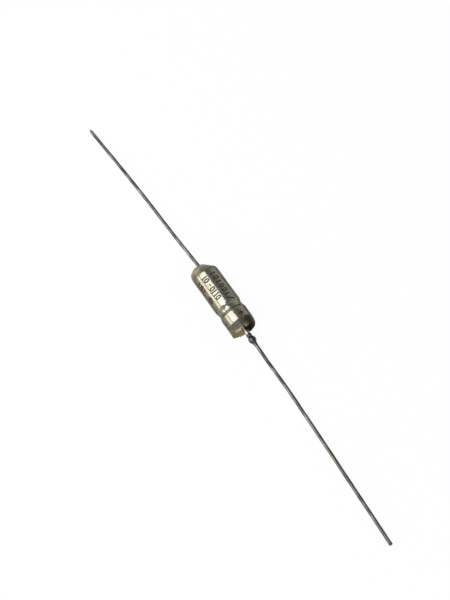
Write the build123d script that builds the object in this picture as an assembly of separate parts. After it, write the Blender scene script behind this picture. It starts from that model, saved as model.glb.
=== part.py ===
"""Axial wet tantalum capacitor in the smallest of its family's four case sizes, lying on a table.

Millimetres, +Z up. X runs along the can, with the positive lead towards +X. The origin is on the table, under
the middle of the part's length. A drawn silver can holds a sintered anode in gelled acid. The can is closed by
a glass seal behind a rolled groove, and a clear shrunk film sleeve covers it. Both leads are bent down a little,
so that their tips touch the table.

The pieces that share the can's axis are turned about X with the can's closed end at x = 0, and placed at the end.
"""

from build123d import *
import math
import os

# Can, drawn in one piece and grooved by rolling
CAN_RADIUS = 2.39
CAN_LENGTH = 11.51
CAN_WALL = 0.30
CAN_END = 0.40
CAN_CORNER = 0.70
RIM_ROUND = 0.06
GROOVE_TO_RIM = 2.87
GROOVE_HALF_WIDTH = 1.00
GROOVE_DEPTH = 0.42
GROOVE_SHOULDER = 0.50

# Clear film sleeve
SLEEVE_WALL = 0.13
SLEEVE_GAP = 0.02
SLEEVE_TAPER = 40.0
SLEEVE_TAPER_LENGTH = 1.70
SLEEVE_WAIST = 0.22
SLEEVE_WAIST_REACH = 0.85
SLEEVE_OVERHANG = 1.60
SLEEVE_MOUTH_DRAW = 0.13

# Leads of tinned nickel wire
LEAD_RADIUS = 0.32
LEAD_LENGTH = 39.6
LEAD_STRAIGHT = 1.40
LEAD_HEAD_RADIUS = 0.52
LEAD_HEAD = 0.14

# Glass seal in the mouth of the can
SEAL_SETBACK = 0.35
SEAL_THICKNESS = 1.00
SEAL_BORE_RADIUS = 1.30
MENISCUS_RISE = 0.22
MENISCUS_DIP = 0.06
SOLDER_GAP = 0.02
SOLDER_WIDTH = 0.34
SOLDER_RISE = 0.28
TUBE_RADIUS = 0.46
TUBE_BORE_RADIUS = 0.28
TUBE_INSIDE = 0.25
TUBE_OUTSIDE = 2.65

# Weld bead between the tube and the positive lead
BEAD_RADIUS = 0.72
BEAD_BALL = 1.42
BEAD_NECK_RADIUS = 0.54
BEAD_NECK = 0.24
BEAD_CONE = 0.42
BEAD_CONE_RADIUS = 0.44

# Inside the can
FIT = 0.01
SLIP = 0.04
SPACER_FLOOR = 0.40
SPACER_DEPTH = 0.80
SLUG_RADIUS = 1.45
SLUG_EDGE = 0.15
SLUG_TO_BUSHING = 0.30
RISER_RADIUS = 0.25
RISER_ROOT = 1.60
BUSHING_LENGTH = 0.85
GASKET_BELOW_GROOVE = 1.25
GASKET_TO_TUBE = 0.05

# Bends of the leads, each as (distance out from the lead's root, sideways, share of the drop to the table)
NEGATIVE_BENDS = [(8.8, -0.32, 0.05), (22.4, -0.50, 0.40)]
NEGATIVE_TIP_SIDEWAYS = -1.12
POSITIVE_BENDS = [(3.6, -0.06, 0.02), (9.9, 0.01, 0.14), (20.3, -0.26, 0.42)]
POSITIVE_TIP_SIDEWAYS = -0.85

# Places along the can that follow from these
CAN_BORE = CAN_RADIUS - CAN_WALL
CORNER_BORE = CAN_CORNER - CAN_WALL
GROOVE_X = CAN_LENGTH - GROOVE_TO_RIM
SLEEVE_BORE = CAN_RADIUS + SLEEVE_GAP
AXIS_HEIGHT = SLEEVE_BORE + SLEEVE_WALL
SEAL_FACE = CAN_LENGTH - SEAL_SETBACK
SEAL_BACK = SEAL_FACE - SEAL_THICKNESS
TUBE_END = CAN_LENGTH + TUBE_OUTSIDE
BEAD_END = TUBE_END + BEAD_NECK + BEAD_BALL + BEAD_CONE
SPACER_TOP = CAN_END + SPACER_FLOOR + SPACER_DEPTH
SLUG_BOTTOM = CAN_END + SPACER_FLOOR
GASKET_BOTTOM = GROOVE_X - GASKET_BELOW_GROOVE
GASKET_TOP = SEAL_BACK - TUBE_INSIDE - GASKET_TO_TUBE
BUSHING_BOTTOM = GASKET_BOTTOM - BUSHING_LENGTH
SLUG_TOP = BUSHING_BOTTOM - SLUG_TO_BUSHING
TIP_DROP = AXIS_HEIGHT - LEAD_RADIUS


def turned(*edges):
    """Solid of revolution about X. The edges run from the axis round to the axis, and a last line closes them."""
    first, last = edges[0] @ 0, edges[-1] @ 1
    outline = [*edges, Line(last, first)] if (last - first).length > 1e-9 else list(edges)
    return revolve(make_face(outline), Axis.X)


def turned_corners(*corners):
    """Solid of revolution about X with straight sides between the (x, radius) corners."""
    return revolve(make_face(Polyline(*corners, close=True)), Axis.X)


def rod(start, end, radius):
    return turned_corners((start, 0), (end, 0), (end, radius), (start, radius))


def wall_line(inset, start, end, corner):
    """Edges along the can's wall from its closed end to x = end, lying inset below its outside surface.

    The groove is two shoulders and a valley, three arcs that meet tangent and stay concentric at any inset.
    """
    radius = CAN_RADIUS - inset
    turn = 2 * math.atan2(GROOVE_DEPTH, GROOVE_HALF_WIDTH)
    valley = GROOVE_HALF_WIDTH / math.sin(turn) - GROOVE_SHOULDER
    shoulder_r, valley_r = GROOVE_SHOULDER - inset, valley + inset
    degrees = math.degrees(turn)
    shoulder_y = CAN_RADIUS - GROOVE_SHOULDER
    valley_y = CAN_RADIUS - GROOVE_DEPTH + valley
    near = CenterArc((GROOVE_X - GROOVE_HALF_WIDTH, shoulder_y), shoulder_r, 90, -degrees)
    middle = CenterArc((GROOVE_X, valley_y), valley_r, 270 - degrees, 2 * degrees)
    far = CenterArc((GROOVE_X + GROOVE_HALF_WIDTH, shoulder_y), shoulder_r, 90 + degrees, -degrees)
    if corner:
        head = [
            Line((start, 0), (start, radius - corner)),
            CenterArc((start + corner, radius - corner), corner, 180, -90),
            Line((start + corner, radius), near @ 0),
        ]
    else:
        head = [Line((start, 0), (start, radius)), Line((start, radius), near @ 0)]
    return [*head, near, middle, far, Line(far @ 1, (end, radius)), Line((end, radius), (end, 0))]


def can():
    outside = turned(*wall_line(0, 0, CAN_LENGTH, CAN_CORNER))
    rim = outside.edges().filter_by(GeomType.CIRCLE).sort_by(Axis.X)[-1]
    outside = fillet(rim, RIM_ROUND)
    return outside - turned(*wall_line(CAN_WALL, CAN_END, CAN_LENGTH + CAN_WALL, CORNER_BORE))


def insulating_sleeve():
    """Film of one thickness, necked over the groove, drawn in past the closed end and open past the rim."""
    taper = math.radians(SLEEVE_TAPER)
    hug = CAN_CORNER + SLEEVE_GAP
    shoulder_x = CAN_CORNER - hug * math.tan(taper / 2)
    neck_radius = SLEEVE_BORE - (shoulder_x + SLEEVE_TAPER_LENGTH) * math.tan(taper)
    waist_reach = SLEEVE_WAIST_REACH * GROOVE_HALF_WIDTH
    waist = SLEEVE_BORE - SLEEVE_WAIST
    mouth_x = CAN_LENGTH + SLEEVE_OVERHANG
    inside = FilletPolyline(
        (-SLEEVE_TAPER_LENGTH, neck_radius),
        (shoulder_x, SLEEVE_BORE),
        (GROOVE_X - waist_reach, SLEEVE_BORE),
        (GROOVE_X, waist),
        (GROOVE_X + waist_reach, SLEEVE_BORE),
        (CAN_LENGTH + SLEEVE_OVERHANG / 4, SLEEVE_BORE),
        (mouth_x, SLEEVE_BORE - SLEEVE_MOUTH_DRAW),
        radius=[hug, 1.2, 1.5, 1.2, 2.5],
    )
    film = inside.offset_2d(SLEEVE_WALL, kind=Kind.INTERSECTION, side=Side.LEFT, closed=True)
    return revolve(make_face(film), Axis.X)


def seal_ring():
    radius = CAN_BORE - SOLDER_GAP
    return turned_corners(
        (SEAL_BACK, SEAL_BORE_RADIUS), (SEAL_FACE, SEAL_BORE_RADIUS), (SEAL_FACE, radius), (SEAL_BACK, radius)
    )


def closing_solder():
    """Fillet of solder between the seal's ring and the can, with a hollow face."""
    wall_top = (SEAL_FACE + SOLDER_RISE, CAN_BORE)
    ring_edge = (SEAL_FACE, CAN_BORE - SOLDER_WIDTH)
    hollow = (SEAL_FACE + 0.3 * SOLDER_RISE, CAN_BORE - 0.38 * SOLDER_WIDTH)
    root = (SEAL_FACE, CAN_BORE)
    return revolve(
        make_face([Line(root, wall_top), ThreePointArc(wall_top, hollow, ring_edge), Line(ring_edge, root)]), Axis.X
    )


def seal_glass():
    """Glass fused between ring and tube, climbing the tube a little on both faces."""
    middle = (SEAL_BORE_RADIUS + TUBE_RADIUS) / 2
    out_low, out_high = SEAL_FACE - MENISCUS_DIP, SEAL_FACE + MENISCUS_RISE
    in_low, in_high = SEAL_BACK + MENISCUS_DIP, SEAL_BACK - MENISCUS_RISE / 2
    out_edge, out_tube = (out_low, SEAL_BORE_RADIUS), (out_high, TUBE_RADIUS)
    in_edge, in_tube = (in_low, SEAL_BORE_RADIUS), (in_high, TUBE_RADIUS)
    edges = [
        Line(in_edge, out_edge),
        ThreePointArc(out_edge, (out_low + MENISCUS_DIP / 2, middle), out_tube),
        Line(out_tube, in_tube),
        ThreePointArc(in_tube, (in_low - MENISCUS_DIP / 2, middle), in_edge),
    ]
    return revolve(make_face(edges), Axis.X)


def seal_tube():
    start = SEAL_BACK - TUBE_INSIDE
    return rod(start, TUBE_END, TUBE_RADIUS) - rod(start - 1, TUBE_END + 1, TUBE_BORE_RADIUS)


def weld_bead():
    """Nugget that fuses the tube and the riser to the lead: a neck, a ball and a cone down to the lead."""
    ball_x = TUBE_END + BEAD_NECK
    cone_x = ball_x + BEAD_BALL
    edges = [
        Line((TUBE_END, 0), (TUBE_END, BEAD_NECK_RADIUS)),
        Line((TUBE_END, BEAD_NECK_RADIUS), (ball_x, BEAD_NECK_RADIUS)),
        ThreePointArc(
            (ball_x, BEAD_NECK_RADIUS), (ball_x + BEAD_BALL / 2, BEAD_RADIUS), (cone_x, BEAD_CONE_RADIUS)
        ),
        Line((cone_x, BEAD_CONE_RADIUS), (BEAD_END, LEAD_RADIUS)),
        Line((BEAD_END, LEAD_RADIUS), (BEAD_END, 0)),
    ]
    return turned(*edges)


def anode_slug():
    """Sintered cylinder, pressed around the foot of its riser wire."""
    slug = rod(SLUG_BOTTOM, SLUG_TOP, SLUG_RADIUS)
    slug = fillet(slug.edges().filter_by(GeomType.CIRCLE), SLUG_EDGE)
    return slug - rod(SLUG_TOP - RISER_ROOT, SLUG_TOP + 1, RISER_RADIUS)


def anode_riser():
    return rod(SLUG_TOP - RISER_ROOT, TUBE_END, RISER_RADIUS)


def vibration_spacer():
    """Cup that centres the foot of the anode in the closed end of the can."""
    radius = CAN_BORE - SLIP
    corner = CORNER_BORE + SLIP
    cup = turned(
        Line((CAN_END, 0), (CAN_END, radius - corner)),
        CenterArc((CAN_END + corner, radius - corner), corner, 180, -90),
        Line((CAN_END + corner, radius), (SPACER_TOP, radius)),
        Line((SPACER_TOP, radius), (SPACER_TOP, 0)),
    )
    return cup - rod(SLUG_BOTTOM, SPACER_TOP + 1, SLUG_RADIUS + FIT)


def electrolyte():
    """Gel that fills the room between the anode and the can."""
    gel = rod(SPACER_TOP, BUSHING_BOTTOM, CAN_BORE - FIT)
    gel -= rod(SPACER_TOP - 1, SLUG_TOP + FIT, SLUG_RADIUS + FIT)
    return gel - rod(SPACER_TOP, BUSHING_BOTTOM + 1, RISER_RADIUS + FIT)


def bushing():
    radius = RISER_RADIUS + FIT
    return rod(BUSHING_BOTTOM, GASKET_BOTTOM, CAN_BORE - SLIP) - rod(BUSHING_BOTTOM - 1, GASKET_BOTTOM + 1, radius)


def gasket():
    """Rubber plug that the groove squeezes onto the riser."""
    plug = turned(*wall_line(CAN_WALL + FIT, GASKET_BOTTOM, GASKET_TOP, 0))
    return plug - rod(GASKET_BOTTOM - 1, GASKET_TOP + 1, RISER_RADIUS + FIT)


def lead_route(root_x, outwards, bends, tip_sideways):
    """Points along a lead's middle: straight off its root on the can's axis, then bent down to the table."""
    points = [(root_x, 0, 0), (root_x + outwards * LEAD_STRAIGHT, 0, 0)]
    points += [(root_x + outwards * out, side, -share * TIP_DROP) for out, side, share in bends]
    points.append((root_x + outwards * LEAD_LENGTH, tip_sideways, -TIP_DROP))
    return points


def bent_wire(points):
    """Round wire whose bends are as wide as its straight runs allow."""
    radii = []
    for before, at, after in zip(points, points[1:], points[2:]):
        arriving, leaving = Vector(at) - Vector(before), Vector(after) - Vector(at)
        half_turn = math.radians(arriving.get_angle(leaving)) / 2
        radii.append(0.45 * min(arriving.length, leaving.length) / math.tan(half_turn))
    path = FilletPolyline(*points, radius=radii)
    print("bend radii", [round(radius, 1) for radius in radii], "length", round(path.length, 2))
    end = Plane(origin=path @ 0, z_dir=path % 0)
    return sweep(end * Circle(LEAD_RADIUS), path=path, transition=Transition.ROUND)


def negative_lead():
    """Wire with a flattened head, resistance-welded to the can's closed end."""
    head = turned_corners(
        (-2 * LEAD_HEAD, 0),
        (0, 0),
        (0, LEAD_HEAD_RADIUS),
        (-LEAD_HEAD, LEAD_HEAD_RADIUS),
        (-2 * LEAD_HEAD, LEAD_RADIUS),
    )
    return head + bent_wire(lead_route(0, -1, NEGATIVE_BENDS, NEGATIVE_TIP_SIDEWAYS))


def positive_lead():
    return bent_wire(lead_route(BEAD_END, 1, POSITIVE_BENDS, POSITIVE_TIP_SIDEWAYS))


PIECES = {
    "case": can,
    "insulating_sleeve": insulating_sleeve,
    "negative_lead": negative_lead,
    "positive_lead": positive_lead,
    "weld_bead": weld_bead,
    "seal_tube": seal_tube,
    "seal_glass": seal_glass,
    "seal_ring": seal_ring,
    "closing_solder": closing_solder,
    "gasket": gasket,
    "bushing": bushing,
    "electrolyte": electrolyte,
    "anode_slug": anode_slug,
    "anode_riser": anode_riser,
    "vibration_spacer": vibration_spacer,
}

# The part's length is centred on the origin, and its lowest points are on the table.
IN_PLACE = Pos(-BEAD_END / 2, 0, AXIS_HEIGHT)

os.makedirs("parts", exist_ok=True)
for name, make in PIECES.items():
    export_step(IN_PLACE * make(), f"parts/{name}.step")
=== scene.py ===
"""Looks of an axial wet tantalum capacitor, lying on a pale table, in order of assembly."""

import math
import random

import bmesh
import bpy
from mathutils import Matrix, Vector


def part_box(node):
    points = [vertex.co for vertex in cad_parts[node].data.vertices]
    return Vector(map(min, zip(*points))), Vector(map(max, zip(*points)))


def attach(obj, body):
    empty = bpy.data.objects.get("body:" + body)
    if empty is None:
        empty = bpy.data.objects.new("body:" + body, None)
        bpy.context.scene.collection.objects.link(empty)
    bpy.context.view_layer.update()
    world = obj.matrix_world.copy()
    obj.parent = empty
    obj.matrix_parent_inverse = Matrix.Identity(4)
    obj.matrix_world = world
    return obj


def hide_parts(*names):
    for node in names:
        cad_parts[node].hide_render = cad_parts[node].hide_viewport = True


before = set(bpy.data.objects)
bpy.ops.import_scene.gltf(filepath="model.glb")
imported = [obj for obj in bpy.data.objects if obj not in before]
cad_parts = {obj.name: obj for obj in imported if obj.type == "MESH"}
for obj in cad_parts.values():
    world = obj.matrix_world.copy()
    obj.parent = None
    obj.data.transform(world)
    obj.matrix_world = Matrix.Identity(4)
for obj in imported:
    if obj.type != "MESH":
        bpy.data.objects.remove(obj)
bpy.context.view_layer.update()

MM = 0.001

# Vibration spacer and bushing: two white fluoroplastic pieces that centre the foot and the head of the
# anode. They are turned from rod, so fine lathe rings circle their axis, and they are pushed into the can.


def finish(name):
    """New material with its node tree and its shader."""
    material = bpy.data.materials.new(name)
    material.use_nodes = True
    return material, material.node_tree, material.node_tree.nodes["Principled BSDF"]


def grain(tree, per_mm, stretch=(1, 1, 1), detail=3.0):
    """Noise with so many grains a millimetre, stretched along the axes."""
    place = tree.nodes.new("ShaderNodeTexCoord")
    size = tree.nodes.new("ShaderNodeMapping")
    size.inputs["Scale"].default_value = [s / MM for s in stretch]
    noise = tree.nodes.new("ShaderNodeTexNoise")
    noise.inputs["Scale"].default_value = per_mm
    noise.inputs["Detail"].default_value = detail
    tree.links.new(place.outputs["Object"], size.inputs["Vector"])
    tree.links.new(size.outputs["Vector"], noise.inputs["Vector"])
    return noise.outputs["Fac"]


def spread(tree, amount, low, high, start=0.35, stop=0.65):
    """The amount's range from start to stop, spread from low to high."""
    node = tree.nodes.new("ShaderNodeMapRange")
    node.inputs["From Min"].default_value = start
    node.inputs["From Max"].default_value = stop
    node.inputs["To Min"].default_value = low
    node.inputs["To Max"].default_value = high
    tree.links.new(amount, node.inputs["Value"])
    return node.outputs["Result"]


def blend(tree, amount, first, second):
    """Colour between two colours or colour sockets."""
    node = tree.nodes.new("ShaderNodeMix")
    node.data_type = "RGBA"
    tree.links.new(amount, node.inputs["Factor"])
    for name, value in (("A", first), ("B", second)):
        socket = next(s for s in node.inputs if s.name == name and s.type == "RGBA")
        if isinstance(value, tuple):
            socket.default_value = (*value, 1)
        else:
            tree.links.new(value, socket)
    return next(s for s in node.outputs if s.type == "RGBA")


def relief(tree, height, depth_mm, under=None):
    """Normal of a surface whose height runs over depth_mm, on top of another relief."""
    node = tree.nodes.new("ShaderNodeBump")
    node.inputs["Distance"].default_value = depth_mm * MM
    tree.links.new(height, node.inputs["Height"])
    if under is not None:
        tree.links.new(under, node.inputs["Normal"])
    return node.outputs["Normal"]


def dress(node_name, material):
    """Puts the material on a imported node."""
    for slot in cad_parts[node_name].material_slots:
        slot.material = material


fluoroplastic, tree, shader = finish("white_fluoroplastic")
lathe_rings = grain(tree, 14, stretch=(1, 0.04, 0.04))
plastic_white = blend(tree, grain(tree, 1.5), (0.80, 0.80, 0.77), (0.90, 0.90, 0.88))
tree.links.new(plastic_white, shader.inputs["Base Color"])
tree.links.new(spread(tree, lathe_rings, 0.42, 0.58), shader.inputs["Roughness"])
tree.links.new(relief(tree, lathe_rings, 0.006), shader.inputs["Normal"])
dress("vibration_spacer", fluoroplastic)
dress("bushing", fluoroplastic)


# Anode slug: tantalum powder, pressed into a cylinder round its riser wire and sintered. It stays porous
# all through, so its skin is rough and dull grey.

sintered, tree, shader = finish("sintered_tantalum")
pores = grain(tree, 22, detail=5)
shader.inputs["Metallic"].default_value = 0.7
tree.links.new(blend(tree, pores, (0.05, 0.05, 0.055), (0.24, 0.24, 0.25)), shader.inputs["Base Color"])
tree.links.new(spread(tree, pores, 0.85, 0.6), shader.inputs["Roughness"])
tree.links.new(relief(tree, pores, 0.02), shader.inputs["Normal"])
dress("anode_slug", sintered)


# Riser wire and seal tube: both are drawn tantalum, blue-grey, with fine lines along the draw. The riser
# is pressed into the slug and runs up through the tube to the weld bead.

drawn_tantalum, tree, shader = finish("drawn_tantalum")
draw_lines = grain(tree, 20, stretch=(0.03, 1, 1))
smudges = grain(tree, 1.2)
shader.inputs["Metallic"].default_value = 1.0
tree.links.new(blend(tree, smudges, (0.20, 0.20, 0.20), (0.42, 0.415, 0.40)), shader.inputs["Base Color"])
tree.links.new(spread(tree, smudges, 0.38, 0.22), shader.inputs["Roughness"])
tree.links.new(relief(tree, draw_lines, 0.006), shader.inputs["Normal"])
dress("anode_riser", drawn_tantalum)
dress("seal_tube", drawn_tantalum)


# Electrolyte: acid gelled with fumed silica, faintly yellow and a little cloudy. It is filled in round
# the anode before the can is closed.

gelled_acid, tree, shader = finish("gelled_acid")
clouds = grain(tree, 2.5)
shader.inputs["Transmission Weight"].default_value = 0.6
tree.links.new(blend(tree, clouds, (0.74, 0.75, 0.68), (0.90, 0.90, 0.85)), shader.inputs["Base Color"])
tree.links.new(spread(tree, clouds, 0.15, 0.4), shader.inputs["Roughness"])
dress("electrolyte", gelled_acid)


# Gasket: a plug of moulded black rubber with a dull bloom on its skin. The rolled groove of the can
# squeezes it onto the riser, which keeps the acid in.

black_rubber, tree, shader = finish("moulded_rubber")
bloom = grain(tree, 6, detail=4)
tree.links.new(blend(tree, bloom, (0.018, 0.018, 0.018), (0.045, 0.044, 0.042)), shader.inputs["Base Color"])
tree.links.new(spread(tree, bloom, 0.55, 0.75), shader.inputs["Roughness"])
tree.links.new(relief(tree, bloom, 0.008), shader.inputs["Normal"])
dress("gasket", black_rubber)


# Can: silver, drawn in one piece and closed over its gasket by a rolled groove. It is the negative terminal.
# The satin silver has lines along the draw, faint rings from rolling, and a warm tarnish in soft patches.

satin_silver, tree, shader = finish("satin_silver")
tarnish = grain(tree, 0.55, stretch=(0.6, 1, 1), detail=4)
draw_lines = grain(tree, 16, stretch=(0.02, 1, 1))
roll_rings = grain(tree, 9, stretch=(1, 0.02, 0.02))
shader.inputs["Metallic"].default_value = 1.0
silver_color = blend(
    tree, spread(tree, tarnish, 0, 1, 0.42, 0.66), (0.44, 0.435, 0.41), (0.37, 0.355, 0.30)
)
tree.links.new(silver_color, shader.inputs["Base Color"])
tree.links.new(spread(tree, tarnish, 0.16, 0.24), shader.inputs["Roughness"])
drawn = relief(tree, draw_lines, 0.0030)
tree.links.new(relief(tree, roll_rings, 0.0016, under=drawn), shader.inputs["Normal"])
dress("case", satin_silver)


# Seal ring: the metal ring that the glass is fused into, scaled and darkened by the heat of the fusing.
# It sits in the mouth of the can.

fired_metal, tree, shader = finish("fired_ring_metal")
fire_scale = grain(tree, 5, detail=5)
shader.inputs["Metallic"].default_value = 0.85
scaled = blend(tree, fire_scale, (0.020, 0.017, 0.013), (0.055, 0.048, 0.036))
tree.links.new(scaled, shader.inputs["Base Color"])
tree.links.new(spread(tree, fire_scale, 0.5, 0.3), shader.inputs["Roughness"])
tree.links.new(relief(tree, fire_scale, 0.02), shader.inputs["Normal"])
dress("seal_ring", fired_metal)


# Closing solder: a fillet of soft solder, run round the ring to make the can tight. It has dulled, and
# its surface is slightly lumpy where it froze.

closing_fillet, tree, shader = finish("closing_solder")
runs = grain(tree, 2.2, detail=2)
shader.inputs["Metallic"].default_value = 1.0
tree.links.new(blend(tree, runs, (0.11, 0.105, 0.09), (0.22, 0.215, 0.19)), shader.inputs["Base Color"])
tree.links.new(spread(tree, runs, 0.16, 0.34), shader.inputs["Roughness"])
tree.links.new(relief(tree, runs, 0.04), shader.inputs["Normal"])
dress("closing_solder", closing_fillet)


# Seal glass: dark sealing glass, fused to the ring and to the tube in a furnace. It holds the tube clear
# of the can, and its face is shiny.

sealing_glass, tree, shader = finish("sealing_glass")
cords = grain(tree, 3, detail=2)
shader.inputs["Transmission Weight"].default_value = 0.35
tree.links.new(blend(tree, cords, (0.035, 0.035, 0.028), (0.10, 0.095, 0.07)), shader.inputs["Base Color"])
tree.links.new(spread(tree, cords, 0.05, 0.12), shader.inputs["Roughness"])
dress("seal_glass", sealing_glass)


# Weld bead: the nugget left where the tube and riser were fused to the lead. The heat left it nearly
# black and glassy. A narrow collar joins it to the tube, and a short cone runs down onto the lead.

BEAD_SEGMENTS = 72
BEAD_LUMP = 0.10
BEAD_CONE_FROM = 0.8
BEAD_PROFILE = [  # share of the bead's length, radius in millimetres
    (0.00, 0.47),
    (0.05, 0.49),
    (0.08, 0.54),
    (0.14, 0.55),
    (0.19, 0.53),
    (0.23, 0.46),
    (0.28, 0.47),
    (0.33, 0.56),
    (0.40, 0.655),
    (0.48, 0.715),
    (0.57, 0.735),
    (0.66, 0.715),
    (0.75, 0.655),
    (0.82, 0.57),
    (0.88, 0.48),
    (0.94, 0.425),
    (1.00, 0.40),
]


def ripple(angle, waves):
    """Sum of waves round a turn, each as (height, count, phase)."""
    return sum(height * math.cos(count * angle + phase) for height, count, phase in waves)


def smooth_profile(stops, steps):
    """Points on a soft curve through the stops, steps to each gap."""
    points = []
    for i in range(len(stops) - 1):
        before, start = Vector(stops[max(i - 1, 0)]), Vector(stops[i])
        end, after = Vector(stops[i + 1]), Vector(stops[min(i + 2, len(stops) - 1)])
        for k in range(steps):
            t = k / steps
            slope_in, slope_out = (end - before) / 2, (after - start) / 2
            points.append(
                start * (2 * t**3 - 3 * t**2 + 1)
                + slope_in * (t**3 - 2 * t**2 + t)
                + end * (3 * t**2 - 2 * t**3)
                + slope_out * (t**3 - t**2)
            )
    return [*points, Vector(stops[-1])]


def skin(name, rings, joined=False, sharp_degrees=50):
    """Smooth mesh over closed rings of points: joined end to end, or capped at both ends."""
    count = len(rings[0])
    points = [point for ring in rings for point in ring]
    faces = []
    for i in range(len(rings) if joined else len(rings) - 1):
        a, b = i * count, (i + 1) % len(rings) * count
        faces += [(a + j, a + (j + 1) % count, b + (j + 1) % count, b + j) for j in range(count)]
    if not joined:
        faces += [tuple(range(count)), tuple(range(len(points) - count, len(points)))]
    mesh = bpy.data.meshes.new(name)
    mesh.from_pydata(points, [], faces)
    shell = bmesh.new()
    shell.from_mesh(mesh)
    bmesh.ops.recalc_face_normals(shell, faces=shell.faces)
    shell.to_mesh(mesh)
    shell.free()
    mesh.shade_smooth()
    mesh.set_sharp_from_angle(angle=math.radians(sharp_degrees))
    piece = bpy.data.objects.new(name, mesh)
    bpy.context.scene.collection.objects.link(piece)
    return piece


case_low, case_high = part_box("case")
bead_low, bead_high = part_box("weld_bead")
closed_end, rim = case_low[0], case_high[0]
axis_height = (case_low[2] + case_high[2]) / 2


def round_point(x, angle, radius):
    """Point at x, in metres, and a radius in millimetres. The angle runs from straight up towards -Y."""
    return Vector((x, -radius * MM * math.sin(angle), axis_height + radius * MM * math.cos(angle)))


bead_rings = []
for share, radius in smooth_profile(BEAD_PROFILE, 3):
    lump = BEAD_LUMP * math.sin(math.pi * min(share, BEAD_CONE_FROM) / BEAD_CONE_FROM) ** 2
    lump_waves = [(0.22, 1, 0.4 + 2 * share), (0.14, 2, 1.9), (0.12, 3, 5 * share), (0.05, 7, 9 * share)]
    x = bead_low[0] + share * (bead_high[0] - bead_low[0])
    ring = []
    for j in range(BEAD_SEGMENTS):
        turn = 2 * math.pi * j / BEAD_SEGMENTS
        uneven = ripple(turn, lump_waves)
        ring.append(round_point(x, turn, radius * (1 + lump * uneven) - 0.2 * lump))
    bead_rings.append(ring)
bead = skin("welded_nugget", bead_rings, sharp_degrees=80)

black_weld, tree, shader = finish("black_weld")
pits = grain(tree, 7, detail=4)
burn = grain(tree, 1.6, detail=3)
shader.inputs["Metallic"].default_value = 0.9
shader.inputs["Coat Weight"].default_value = 1.0
shader.inputs["Coat IOR"].default_value = 1.7
shader.inputs["Coat Roughness"].default_value = 0.05
tree.links.new(blend(tree, burn, (0.003, 0.003, 0.003), (0.020, 0.018, 0.016)), shader.inputs["Base Color"])
tree.links.new(spread(tree, pits, 0.18, 0.40), shader.inputs["Roughness"])
tree.links.new(relief(tree, pits, 0.018), shader.inputs["Normal"])
bead.data.materials.append(black_weld)
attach(bead, "root")
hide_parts("weld_bead")


# Leads: solid nickel wire dipped in solder, dull grey with darker streaks. Each starts straight off its
# weld and is bent by hand down to the table. The cutters pinched the negative end to a point and left the
# positive one blunt.

WIRE_RADIUS = 0.32
WIRE_SEGMENTS = 32
BEND_SHARE, BEND_STEPS = 0.45, 22
SNIP_LENGTH, SNIP_STEPS = 0.55, 10
SNIP_FLATTEN, SNIP_LEAN = 0.62, 0.10
NICKS, NICK_LENGTH = 26, 0.35
NICK_REACH, NICK_DEPTH = (3, 36), (0.010, 0.026)
HEAD_STEP, HEAD_STEPS, HEAD_CLEAR = 0.025, 12, 0.42
NEGATIVE_ROUTE = [  # distance out from the root, sideways and share of the drop to the table
    (0, 0, 0), (1.4, 0, 0), (8.8, -0.32, 0.05), (22.4, -0.50, 0.40), (39.6, -1.12, 1)
]
POSITIVE_ROUTE = [
    (0, 0, 0), (1.4, 0, 0), (3.6, -0.06, 0.02), (9.9, 0.01, 0.14), (20.3, -0.26, 0.42), (39.6, -0.85, 1)
]


def bent_line(corners, steps):
    """Points along straight runs that ease into each other at every corner."""
    line = [corners[0]]
    for before, corner, after in zip(corners, corners[1:], corners[2:]):
        cut = BEND_SHARE * min((corner - before).length, (after - corner).length)
        start = corner + (before - corner).normalized() * cut
        end = corner + (after - corner).normalized() * cut
        line += [line[-1].lerp(start, k / steps) for k in range(1, steps)]
        for k in range(steps + 1):
            t = k / steps
            line.append(start.lerp(corner, t).lerp(corner.lerp(end, t), t))
    last = line[-1]
    return line + [last.lerp(corners[-1], k / (3 * steps)) for k in range(1, 3 * steps + 1)]


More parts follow.
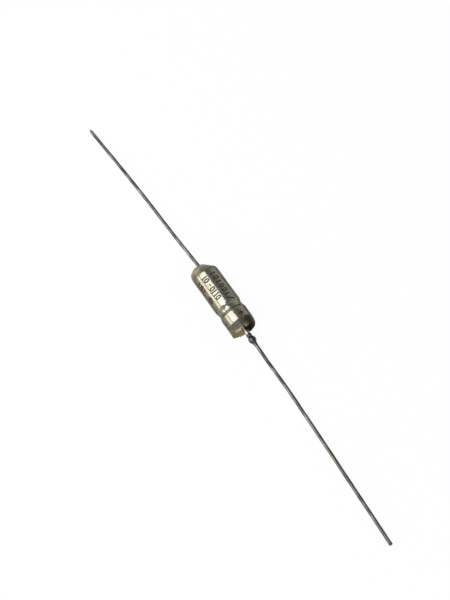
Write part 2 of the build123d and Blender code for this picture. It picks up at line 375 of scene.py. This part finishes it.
def lead(name, route, root, outwards, head, pinch, seed):
    """Wire along the route; head lists (distance out, extra radius) over its weld, pinch narrows its tip."""
    draw = random.Random(seed)
    drop = axis_height - WIRE_RADIUS * MM
    corners = []
    for out, side, fall in route:
        corners.append(Vector((root + outwards * out * MM, side * MM, axis_height - fall * drop)))
    close = [corners[0].lerp(corners[1], k * HEAD_STEP) for k in range(HEAD_STEPS)]
    line = close + [p for p in bent_line(corners, BEND_STEPS) if (p - corners[0]).length > HEAD_CLEAR * MM]
    tip = corners[-1]
    final = (corners[-1] - corners[-2]).normalized()
    line = [p for p in line if (tip - p).length > SNIP_LENGTH * MM]
    line += [tip - final * SNIP_LENGTH * MM * (1 - k / SNIP_STEPS) for k in range(SNIP_STEPS + 1)]
    nicks = []
    for _ in range(NICKS):
        nicks.append((draw.uniform(*NICK_REACH), draw.uniform(0, 2 * math.pi), draw.uniform(*NICK_DEPTH)))
    rings = []
    for i, point in enumerate(line):
        ahead, behind = line[min(i + 1, len(line) - 1)], line[max(i - 1, 0)]
        along = (ahead - behind).normalized()
        side = along.cross(Vector((0, 0, 1))).normalized()
        up = side.cross(along)
        out = (point - corners[0]).length / MM
        to_tip = (tip - point).length / MM
        snip = max(0.0, 1 - to_tip / SNIP_LENGTH)
        ring = []
        for j in range(WIRE_SEGMENTS):
            turn = 2 * math.pi * j / WIRE_SEGMENTS
            uneven = 0.008 * math.sin(1.7 * out + 2 * turn) + 0.006 * math.sin(5.1 * out - turn)
            radius = WIRE_RADIUS * (1 + uneven)
            for place, facing, depth in nicks:
                near = math.exp(-(((out - place) / NICK_LENGTH) ** 2))
                radius -= depth * near * max(0.0, math.cos(turn - facing)) ** 3
            radius += extra_radius(head, out)
            across, high = radius * math.cos(turn), radius * math.sin(turn)
            high *= 1 - SNIP_FLATTEN * snip**1.5
            across *= 1 - pinch * snip
            lean = SNIP_LEAN * snip * math.sin(turn)
            spot = point + (side * across + up * high + along * lean) * MM
            spot.z = max(spot.z, 0.0)
            ring.append(spot)
        rings.append(ring)
    return skin(name, rings, sharp_degrees=45)


def extra_radius(stops, out):
    """Extra radius at a distance out, on straight lines between the stops."""
    for (near, low), (far, high) in zip(stops, stops[1:]):
        if near <= out <= far:
            return low + (high - low) * (out - near) / (far - near)
    return 0.0


tinned_wire, tree, shader = finish("tinned_wire")
streaks = grain(tree, 2.6, stretch=(0.16, 1, 1), detail=4)
dross = grain(tree, 0.9, stretch=(0.5, 1, 1), detail=3)
frost = grain(tree, 24, detail=2)
shader.inputs["Metallic"].default_value = 1.0
streaked = blend(tree, spread(tree, streaks, 0, 1), (0.048, 0.045, 0.042), (0.22, 0.213, 0.20))
drossy = blend(tree, spread(tree, dross, 0, 0.6, 0.5, 0.7), streaked, (0.035, 0.033, 0.030))
tree.links.new(drossy, shader.inputs["Base Color"])
tree.links.new(spread(tree, streaks, 0.48, 0.30), shader.inputs["Roughness"])
wire_skin = relief(tree, streaks, 0.030)
tree.links.new(relief(tree, frost, 0.004, under=wire_skin), shader.inputs["Normal"])

weld_head = [(0, 0.20), (0.10, 0.20), (0.16, 0.17), (0.30, 0.03), (0.40, 0.0)]
weld_cone = [(0, 0.07), (0.25, 0.04), (0.55, 0.0)]
for name, route, root, outwards, head, pinch, seed in (
    ("negative_lead", NEGATIVE_ROUTE, closed_end, -1, weld_head, 0.60, 3),
    ("positive_lead", POSITIVE_ROUTE, bead_high[0], 1, weld_cone, -0.06, 5),
):
    wire = lead(name.replace("lead", "wire"), route, root, outwards, head, pinch, seed)
    wire.data.materials.append(tinned_wire)
    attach(wire, "root")
    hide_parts(name)


# Printed marks: black ink stamped on the can before the sleeve goes on. Plain noughts and ones stand in rows
# along the can, and a plus sign at each quarter of a turn marks the positive end.

INK_LOW, INK_HIGH = 2.3925, 2.4010
INK_WRAP = 2.4
INK_TOP_SHARE = 0.9
INK_STEP = 0.09


def arc(cx, cy, rx, ry, start, stop, steps=20):
    """Points round an ellipse, angles in degrees."""
    angles = [math.radians(start + (stop - start) * k / steps) for k in range(steps + 1)]
    return [(cx + rx * math.cos(a), cy + ry * math.sin(a)) for a in angles]


GLYPHS = {  # strokes on a cell one high, as lists of points; a list that ends where it starts is a ring
    "0": [arc(0, 0, 0.22, 0.44, 90, 450)],
    "1": [[(-0.13, 0.27), (-0.02, 0.45), (-0.02, -0.45)], [(-0.16, -0.45), (0.13, -0.45)]],
    "-": [[(-0.20, 0.0), (0.20, 0.0)]],
    "/": [[(-0.34, -0.62), (0.40, 0.66)]],
    "+": [[(-0.44, 0.0), (0.44, 0.0)], [(0.0, -0.42), (0.0, 0.42)]],
    "o": [
        arc(0, 0, 0.50, 0.46, 0, 360, 32), arc(0, 0, 0.20, 0.46, 90, 450, 28), [(-0.48, 0.0), (0.48, 0.0)]
    ],
}
ROWS = [  # turn in degrees from up towards -Y, start along the can, pitch, height, half stroke, text
    (-20.4, 1.78, 0.93, 1.10, 0.12, "101001/"),
    (23.5, 1.71, 0.62, 1.10, 0.12, "10"),
    (21.5, 3.38, 1.00, 1.10, 0.12, "-"),
    (23.5, 4.22, 0.64, 1.10, 0.12, "0110"),
    (66.0, 1.82, 0.82, 1.08, 0.145, "101"),
    (66.0, 5.50, 1.00, 1.12, 0.095, "o"),
    (-18.4, 10.74, 1.00, 1.12, 0.125, "+"),
    (78.5, 10.74, 1.00, 1.12, 0.125, "+"),
    (168.5, 10.74, 1.00, 1.12, 0.125, "+"),
    (258.5, 10.74, 1.00, 1.12, 0.125, "+"),
]

ink_draw = random.Random(11)


def ink_stroke(ink, path, along, turn, height, pen):
    """Thin raised ribbon of ink along a stroke, wrapped onto the can."""
    ring = math.dist(path[0], path[-1]) < 1e-6
    dense = []
    for (ax, ay), (bx, by) in zip(path, path[1:]):
        steps = max(1, round(math.dist((ax, ay), (bx, by)) / INK_STEP))
        dense += [(ax + (bx - ax) * k / steps, ay + (by - ay) * k / steps) for k in range(steps)]
    if not ring:
        dense.append(path[-1])
    rows = []
    for i, (x, y) in enumerate(dense):
        if ring:
            behind, ahead = dense[i - 1], dense[(i + 1) % len(dense)]
        else:
            behind, ahead = dense[max(i - 1, 0)], dense[min(i + 1, len(dense) - 1)]
        run = math.dist(behind, ahead) or 1.0
        nx, ny = -(ahead[1] - behind[1]) / run, (ahead[0] - behind[0]) / run
        half = pen * ink_draw.uniform(0.86, 1.10) / height
        top = half * INK_TOP_SHARE
        corners = []
        for reach, radius in ((half, INK_LOW), (top, INK_HIGH), (-top, INK_HIGH), (-half, INK_LOW)):
            ink_x = closed_end + (along + (x + nx * reach) * height) * MM
            ink_turn = math.radians(turn) - (y + ny * reach) * height / INK_WRAP
            corners.append(ink.verts.new(round_point(ink_x, ink_turn, radius)))
        rows.append(corners)
    pairs = list(zip(rows, rows[1:])) + ([(rows[-1], rows[0])] if ring else [])
    for first, second in pairs:
        for k in range(4):
            ink.faces.new((first[k], first[(k + 1) % 4], second[(k + 1) % 4], second[k]))
    if not ring:
        ink.faces.new(rows[0][::-1])
        ink.faces.new(rows[-1])


ink = bmesh.new()
for turn, start, pitch, height, pen, marks in ROWS:
    for i, mark in enumerate(marks):
        for path in GLYPHS.get(mark, []):
            ink_stroke(ink, path, start + i * pitch, turn, height, pen)
bmesh.ops.recalc_face_normals(ink, faces=ink.faces)
ink_mesh = bpy.data.meshes.new("printed_marks")
ink.to_mesh(ink_mesh)
ink.free()
print_piece = bpy.data.objects.new("printed_marks", ink_mesh)
bpy.context.scene.collection.objects.link(print_piece)

black_ink, tree, shader = finish("black_ink")
wear = grain(tree, 9, detail=4)
tree.links.new(blend(tree, wear, (0.004, 0.004, 0.004), (0.020, 0.019, 0.018)), shader.inputs["Base Color"])
tree.links.new(spread(tree, wear, 0.6, 0.8), shader.inputs["Roughness"])
shader.inputs["Specular IOR Level"].default_value = 0.2
print_piece.data.materials.append(black_ink)
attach(print_piece, "root")


# Insulating sleeve: a tube of clear film, heat-shrunk onto the can, so it sinks a little into the groove.
# Past the rim it stays open, with a ragged cut edge. Its tint there is painted darker, as shade inside the
# open mouth, and nearly black on its +Y side as painted deep shade. Past the closed end it is cloudier, and
# it collapses against the lead on one side, in pleats.

FILM_SEGMENTS = 264
FILM_WALL = 0.115
FILM_BORE = 2.412
CAN_LENGTH = (rim - closed_end) / MM
CAN_RADIUS = 2.39
CAN_CORNER = 0.70
GROOVE_FROM_RIM = 2.87
WAIST_DEPTH, WAIST_REACH = 0.21, 1.20
PUCKER_FROM_GROOVE, PUCKER_SPREAD = 1.15, 0.55
SLACK_HEIGHT, PUCKER_HEIGHT = 0.020, 0.028
SHOULDER = 0.72
NECK_TURN = math.radians(-75)
NECK_END, NECK_SLANT = -1.62, 0.44
NECK_RADIUS, NECK_OPENING = 0.37, 1.35
NECK_SWELL, NECK_OPEN_SWELL = 1.30, 3.2
MOUTH_LENGTH, MOUTH_DROOP = 1.62, 0.15
FLAP_WIDTH, FLAP_LENGTH, FLAP_LIFT = 0.22, 0.10, 0.24
TUCK_WIDTH, TUCK_LENGTH, TUCK_DEPTH = 0.6, 0.10, 0.16
MOUTH_FLAP_TURN, MOUTH_TUCK_TURN = math.radians(104), math.radians(-88)
NECK_WAVES = [(0.055, 7, 0.6), (0.045, 11, 2.1), (0.03, 17, 4.4), (0.03, 5, 1.0)]
MOUTH_WAVES = [(0.045, 2, 0.7), (0.030, 3, 2.6), (0.018, 7, 1.1)]
END_WAVES = [(0.06, 3, 1.2), (0.03, 9, 0.3), (0.015, 23, 2.0)]
WAIST_WAVES = [(0.5, 5, 0.4), (0.4, 9, 2.0), (0.3, 14, 1.0)]
EDGE_WAVES = [
    (0.15, 1, 2.1), (0.05, 3, 0.5), (0.035, 8, 2.2), (0.022, 19, 4.0), (0.016, 31, 1.3), (0.012, 47, 5.0)
]
LEAD_CLEARANCE, HEAD_CLEARANCE = 0.36, 0.56
NECK_STATIONS, BODY_STATIONS, MOUTH_STATIONS = 30, 84, 20


def soft_step(t):
    """Eases from 0 to 1 as t does."""
    t = min(max(t, 0.0), 1.0)
    return t * t * (3 - 2 * t)


def neck_point(t, turn):
    """Inside of the film from its collapsed end, t = 0, to the can's shoulder, t = 1."""
    open_side = 0.5 - 0.5 * math.cos(turn - NECK_TURN)
    end_x = NECK_END + NECK_SLANT * open_side + ripple(turn, END_WAVES)
    end_radius = NECK_RADIUS + NECK_OPENING * open_side**1.5
    swell = NECK_SWELL + NECK_OPEN_SWELL * open_side**2
    x = end_x + t * (SHOULDER - end_x)
    radius = end_radius + (FILM_BORE - end_radius) * (1 - (1 - t) ** swell)
    radius += ripple(turn + 0.5 * t, NECK_WAVES) * (1 - t) ** 1.2 * t**0.3 * 1.3
    if x > 0:
        back = CAN_CORNER - min(x, CAN_CORNER)
        corner = CAN_RADIUS - CAN_CORNER + math.sqrt(max(CAN_CORNER**2 - back**2, 0))
        radius = max(radius, corner + 0.02)
    return x, max(radius, LEAD_CLEARANCE if x < -0.3 else HEAD_CLEARANCE)


def body_point(x, turn):
    """Inside of the film along the can: slack enough to ripple outwards, and pulled into the groove."""
    away = abs(x - (CAN_LENGTH - GROOVE_FROM_RIM)) / WAIST_REACH
    waist = WAIST_DEPTH * (0.5 + 0.5 * math.cos(math.pi * min(away, 1)))
    waist *= 1 + 0.25 * ripple(turn, WAIST_WAVES)
    slack = 0.5 + 0.5 * math.sin(0.9 * x + 1.3 * math.sin(turn + 0.4) + 0.7)
    pucker = 0.5 + 0.5 * math.sin(13 * turn + 2.1 * math.sin(1.1 * x))
    near_groove = math.exp(-(((away * WAIST_REACH - PUCKER_FROM_GROOVE) / PUCKER_SPREAD) ** 2))
    ends = soft_step((x - SHOULDER) / 0.8)
    return x, FILM_BORE - waist + ends * (SLACK_HEIGHT * slack + PUCKER_HEIGHT * pucker * near_groove)


def mouth_point(t, turn):
    """Inside of the film past the rim, from t = 0 at the rim to t = 1 at the cut edge."""
    edge = MOUTH_LENGTH + ripple(turn, EDGE_WAVES)
    flap = math.exp(-((math.remainder(turn - MOUTH_FLAP_TURN, 2 * math.pi) / FLAP_WIDTH) ** 2))
    tuck = math.exp(-((math.remainder(turn - MOUTH_TUCK_TURN, 2 * math.pi) / TUCK_WIDTH) ** 2))
    x = CAN_LENGTH + t * (edge + FLAP_LENGTH * flap - TUCK_LENGTH * tuck)
    _, start = body_point(CAN_LENGTH, turn)
    radius = start - MOUTH_DROOP * t**1.8 + t * ripple(turn + 0.3 * t, MOUTH_WAVES)
    return x, radius + t**2 * (FLAP_LIFT * flap - TUCK_DEPTH * tuck)


def film_section(turn):
    """Inside of the film at one turn, from the collapsed end to the mouth, in millimetres."""
    reach = CAN_LENGTH - SHOULDER
    neck = [neck_point(k / NECK_STATIONS, turn) for k in range(NECK_STATIONS)]
    body = [body_point(SHOULDER + reach * k / BODY_STATIONS, turn) for k in range(BODY_STATIONS)]
    mouth = [mouth_point(k / MOUTH_STATIONS, turn) for k in range(MOUTH_STATIONS + 1)]
    return neck + body + mouth


def film_rings():
    """Closed rings of the film: along its outside and back along its inside, resting on the table."""
    inside, outside = [], []
    for j in range(FILM_SEGMENTS):
        turn = 2 * math.pi * j / FILM_SEGMENTS
        section = film_section(turn)
        inner, outer = [], []
        for i, (x, radius) in enumerate(section):
            ahead, behind = section[min(i + 1, len(section) - 1)], section[max(i - 1, 0)]
            run, rise = ahead[0] - behind[0], ahead[1] - behind[1]
            length = math.hypot(run, rise)
            to_edge = min(i, len(section) - 1 - i)
            wall = FILM_WALL * (0.55 + 0.45 * soft_step(to_edge / 3))
            inner.append(round_point(closed_end + x * MM, turn, radius))
            outer_x = closed_end + (x - wall * rise / length) * MM
            outer.append(round_point(outer_x, turn, radius + wall * run / length))
            outer[-1].z = max(outer[-1].z, 0.0)
            inner[-1].z = max(inner[-1].z, 0.5 * FILM_WALL * MM)
        inside.append(inner)
        outside.append(outer)
    count = len(inside[0])
    rings = [[outside[j][i] for j in range(FILM_SEGMENTS)] for i in range(count)]
    return rings + [[inside[j][i] for j in range(FILM_SEGMENTS)] for i in reversed(range(count))]


rings = film_rings()
film = skin("shrunk_film_sleeve", rings, joined=True, sharp_degrees=70)



def reckon(tree, operation, first, second):
    """Result of a sum on two sockets or numbers, held between 0 and 1."""
    node = tree.nodes.new("ShaderNodeMath")
    node.operation = operation
    node.use_clamp = True
    for value, socket in zip((first, second), node.inputs):
        if isinstance(value, float):
            socket.default_value = value
        else:
            tree.links.new(value, socket)
    return node.outputs[0]


def mingle(tree, amount, first, second):
    """Shader between two shaders."""
    node = tree.nodes.new("ShaderNodeMixShader")
    for value, socket in zip((amount, first, second), node.inputs):
        tree.links.new(value, socket)
    return node.outputs[0]


clear_film, tree, shader = finish("clear_film")
tree.nodes.remove(shader)
place = tree.nodes.new("ShaderNodeTexCoord")
split = tree.nodes.new("ShaderNodeSeparateXYZ")
tree.links.new(place.outputs["Object"], split.inputs["Vector"])
past_end = spread(tree, split.outputs["X"], 1, 0, closed_end - 0.3 * MM, closed_end + 0.9 * MM)
past_rim = spread(tree, split.outputs["X"], 0, 1, rim - 0.1 * MM, rim + 0.7 * MM)
# Painted shade: this mask darkens the film towards its +Y side, the side that lies in shade.
painted_shade_side = spread(tree, split.outputs["Y"], 0, 1, 0, 1.2 * MM)
cloudy = reckon(tree, "MAXIMUM", past_end, past_rim)

facing = tree.nodes.new("ShaderNodeLayerWeight")
facing.inputs["Blend"].default_value = 0.30
# Painted shade: past the rim the film's tint is darker, as the inside of the open mouth, and nearly black
# towards +Y.
mouth_tint_with_painted_shade = blend(tree, painted_shade_side, (0.54, 0.49, 0.36), (0.07, 0.064, 0.048))
cloudy_tint = blend(tree, past_rim, (0.80, 0.77, 0.68), mouth_tint_with_painted_shade)
head_on = blend(tree, cloudy, (0.985, 0.982, 0.965), cloudy_tint)
sloped = blend(tree, facing.outputs["Facing"], head_on, (0.47, 0.44, 0.30))
# The grazing tint is the film's own absorption. Its near-black turn towards +Y is painted shade along the
# upper silhouette.
edge_tint_with_painted_shade = blend(tree, painted_shade_side, (0.36, 0.34, 0.26), (0.03, 0.028, 0.02))
edge_on = spread(tree, facing.outputs["Facing"], 0, 1, 0.32, 0.62)
see_through = tree.nodes.new("ShaderNodeBsdfTransparent")
tree.links.new(blend(tree, edge_on, sloped, edge_tint_with_painted_shade), see_through.inputs["Color"])

# Painted shade: past the rim the film's haze turns nearly black towards +Y.
painted_mouth_shade = reckon(tree, "MULTIPLY", painted_shade_side, past_rim)
haze = tree.nodes.new("ShaderNodeBsdfDiffuse")
tree.links.new(blend(tree, painted_mouth_shade, (0.27, 0.25, 0.175), (0.025, 0.022, 0.016)), haze.inputs["Color"])
milky_mouth = spread(tree, past_rim, 0.02, 0.20, 0, 1)
milky_neck = spread(tree, past_end, 0, 0.42, 0, 1)
milkiness = reckon(tree, "MAXIMUM", milky_mouth, milky_neck)
film_body = mingle(tree, milkiness, see_through.outputs[0], haze.outputs[0])

wrinkles = grain(tree, 1.1, stretch=(0.55, 1, 1), detail=3)
film_skin = relief(tree, grain(tree, 7, detail=3), 0.003, under=relief(tree, wrinkles, 0.05))
gloss = tree.nodes.new("ShaderNodeBsdfGlossy")
gloss.inputs["Roughness"].default_value = 0.09
tree.links.new(film_skin, gloss.inputs["Normal"])
mirror = tree.nodes.new("ShaderNodeFresnel")
mirror.inputs["IOR"].default_value = 1.33
tree.links.new(film_skin, mirror.inputs["Normal"])
faces = tree.nodes.new("ShaderNodeNewGeometry")
front_mirror = reckon(tree, "SUBTRACT", mirror.outputs[0], faces.outputs["Backfacing"])
film_surface = mingle(tree, front_mirror, film_body, gloss.outputs[0])
tree.links.new(film_surface, tree.nodes["Material Output"].inputs["Surface"])
film.data.materials.append(clear_film)

# The cut edges of the film carry handling grime. Their dark amber line is partly that grime and partly
# painted shade, for the dark look of a clear film's edge.
cut_film, tree, shader = finish("cut_film_edge")
dirt_and_painted_edge_shade = grain(tree, 5, detail=3)
tree.links.new(blend(tree, dirt_and_painted_edge_shade, (0.020, 0.016, 0.010), (0.11, 0.085, 0.045)), shader.inputs["Base Color"])
tree.links.new(spread(tree, dirt_and_painted_edge_shade, 0.3, 0.5), shader.inputs["Roughness"])
film.data.materials.append(cut_film)
stations = len(rings) // 2
for face in film.data.polygons:
    ring_numbers = sorted({v // FILM_SEGMENTS for v in face.vertices})
    if ring_numbers in ([stations - 1, stations], [0, 2 * stations - 1]):
        face.material_index = 1
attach(film, "root")
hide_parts("insulating_sleeve")


# Table: a pale matt board, wide beside the part. It shows nearly white to the eye and keeps a faint
# shadow of the part.

TABLE_HALF = 2.5
TABLE_WHITENESS = 0.94

table_mesh = bpy.data.meshes.new("table")
corners = [(-1, -1), (1, -1), (1, 1), (-1, 1)]
table_mesh.from_pydata([(x * TABLE_HALF, y * TABLE_HALF, 0) for x, y in corners], [], [(0, 1, 2, 3)])
table = bpy.data.objects.new("table", table_mesh)
bpy.context.scene.collection.objects.link(table)
board, tree, shader = finish("pale_board")
fibre = grain(tree, 3, detail=4)
tree.links.new(blend(tree, fibre, (0.90, 0.90, 0.90), (0.93, 0.93, 0.93)), shader.inputs["Base Color"])
shader.inputs["Roughness"].default_value = 0.9
shader.inputs["Specular IOR Level"].default_value = 0.1
ray = tree.nodes.new("ShaderNodeLightPath")
seen = reckon(tree, "MAXIMUM", ray.outputs["Is Camera Ray"], ray.outputs["Is Glossy Ray"])
seen = reckon(tree, "MAXIMUM", seen, ray.outputs["Is Transmission Ray"])
white = tree.nodes.new("ShaderNodeEmission")
white.inputs["Strength"].default_value = 1.0
whiteness = reckon(tree, "MULTIPLY", seen, TABLE_WHITENESS)
table_surface = mingle(tree, whiteness, shader.outputs[0], white.outputs[0])
tree.links.new(table_surface, tree.nodes["Material Output"].inputs["Surface"])
table.data.materials.append(board)


# Light: one broad soft box overhead towards -Y, a low one along the same side and a small one over the
# positive end. A dim dome with a pale horizon stands round them.

LOOK_AT = Vector((-0.00164, 0.00023, 0.00254))
LAMP_DISTANCE = 0.6


def soft_box(name, toward, width, height, power, color):
    """Square-edged lamp that lights the part from a direction and isn't seen itself."""
    lamp = bpy.data.lights.new(name, "AREA")
    lamp.shape = "RECTANGLE"
    lamp.size, lamp.size_y = width, height
    lamp.energy = power
    lamp.color = color
    box = bpy.data.objects.new(name, lamp)
    direction = Vector(toward).normalized()
    box.location = LOOK_AT + direction * LAMP_DISTANCE
    box.rotation_euler = direction.to_track_quat("Z", "Y").to_euler()
    box.visible_camera = False
    bpy.context.scene.collection.objects.link(box)


soft_box("overhead_box", (-0.28, -0.53, 0.80), 0.62, 0.53, 3.1, (1.0, 0.995, 0.985))
soft_box("low_box", (-0.28, -0.95, 0.18), 0.62, 0.17, 1.1, (1.0, 0.94, 0.80))
soft_box("spark_box", (0.42, -0.40, 0.81), 0.16, 0.16, 0.64, (1.0, 1.0, 1.0))

world = bpy.data.worlds.new("studio")
world.use_nodes = True
bpy.context.scene.world = world
tree = world.node_tree
sky = tree.nodes["Background"]
place = tree.nodes.new("ShaderNodeTexCoord")
split = tree.nodes.new("ShaderNodeSeparateXYZ")
tree.links.new(place.outputs["Generated"], split.inputs["Vector"])
dome = spread(tree, split.outputs["Z"], 0, 1, 0.35, 0.80)
tree.links.new(blend(tree, dome, (0.66, 0.66, 0.65), (0.22, 0.225, 0.235)), sky.inputs["Color"])
sky.inputs["Strength"].default_value = 1.0


# Camera: above the part and a little past its positive end. It looks steeply down, and the leads run
# across the view from corner to corner.

CAMERA_TURN, CAMERA_RISE, CAMERA_DISTANCE = 56.1, 67.41, 0.13987
LENS = 47.1

turn, rise = math.radians(CAMERA_TURN), math.radians(CAMERA_RISE)
back = Vector((math.sin(turn) * math.cos(rise), -math.cos(turn) * math.cos(rise), math.sin(rise)))
camera_data = bpy.data.cameras.new("camera")
camera_data.lens = LENS
camera_data.sensor_width = 36
camera_data.clip_start = 0.005
camera = bpy.data.objects.new("camera", camera_data)
camera.location = LOOK_AT + back * CAMERA_DISTANCE
camera.rotation_euler = back.to_track_quat("Z", "Y").to_euler()
bpy.context.scene.collection.objects.link(camera)
bpy.context.scene.camera = camera
bpy.context.scene.view_settings.view_transform = "Standard"
